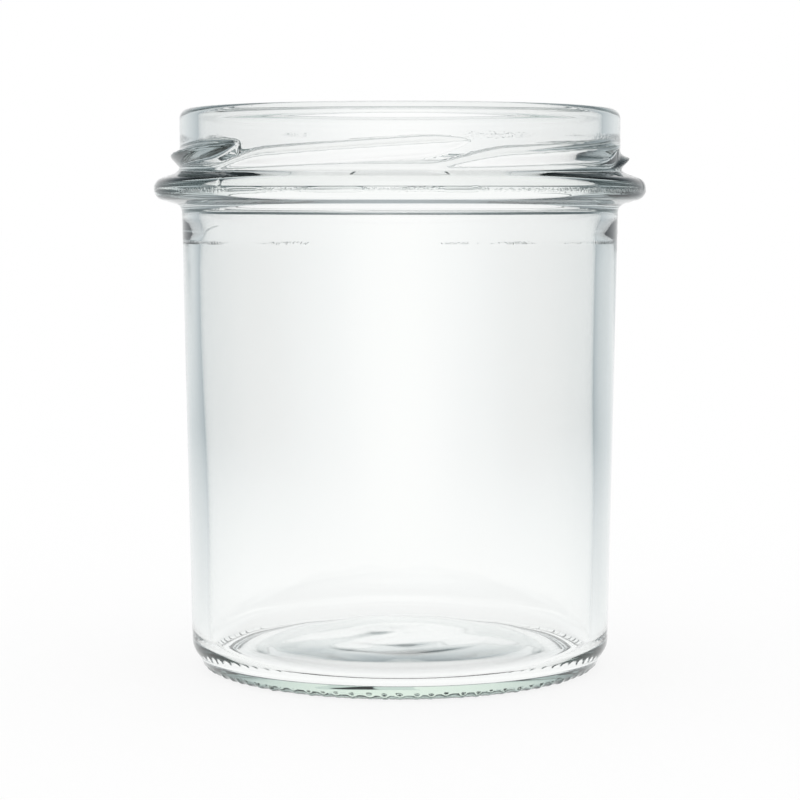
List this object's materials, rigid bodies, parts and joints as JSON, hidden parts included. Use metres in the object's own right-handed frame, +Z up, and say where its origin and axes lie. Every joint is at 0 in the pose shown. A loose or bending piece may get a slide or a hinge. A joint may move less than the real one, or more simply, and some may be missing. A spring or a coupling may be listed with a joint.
{
  "type": "canning jar",
  "caption": "Empty straight-sided preserving jar of clear glass with a lug thread, a bead under it, a knurled base edge and a pushed-up base.",
  "frame": {"origin": "on the jar's axis, in the plane of the bearing ring that it stands on", "axes": "+Z up along the jar's axis, -Y towards the front, +X to the right"},
  "size_m": [0.086, 0.086, 0.0978],
  "materials": {
    "glass": "clear, smooth, fire-polished"
  },
  "bodies": {
    "root": {"jar": "glass"}
  },
  "joints": []
}
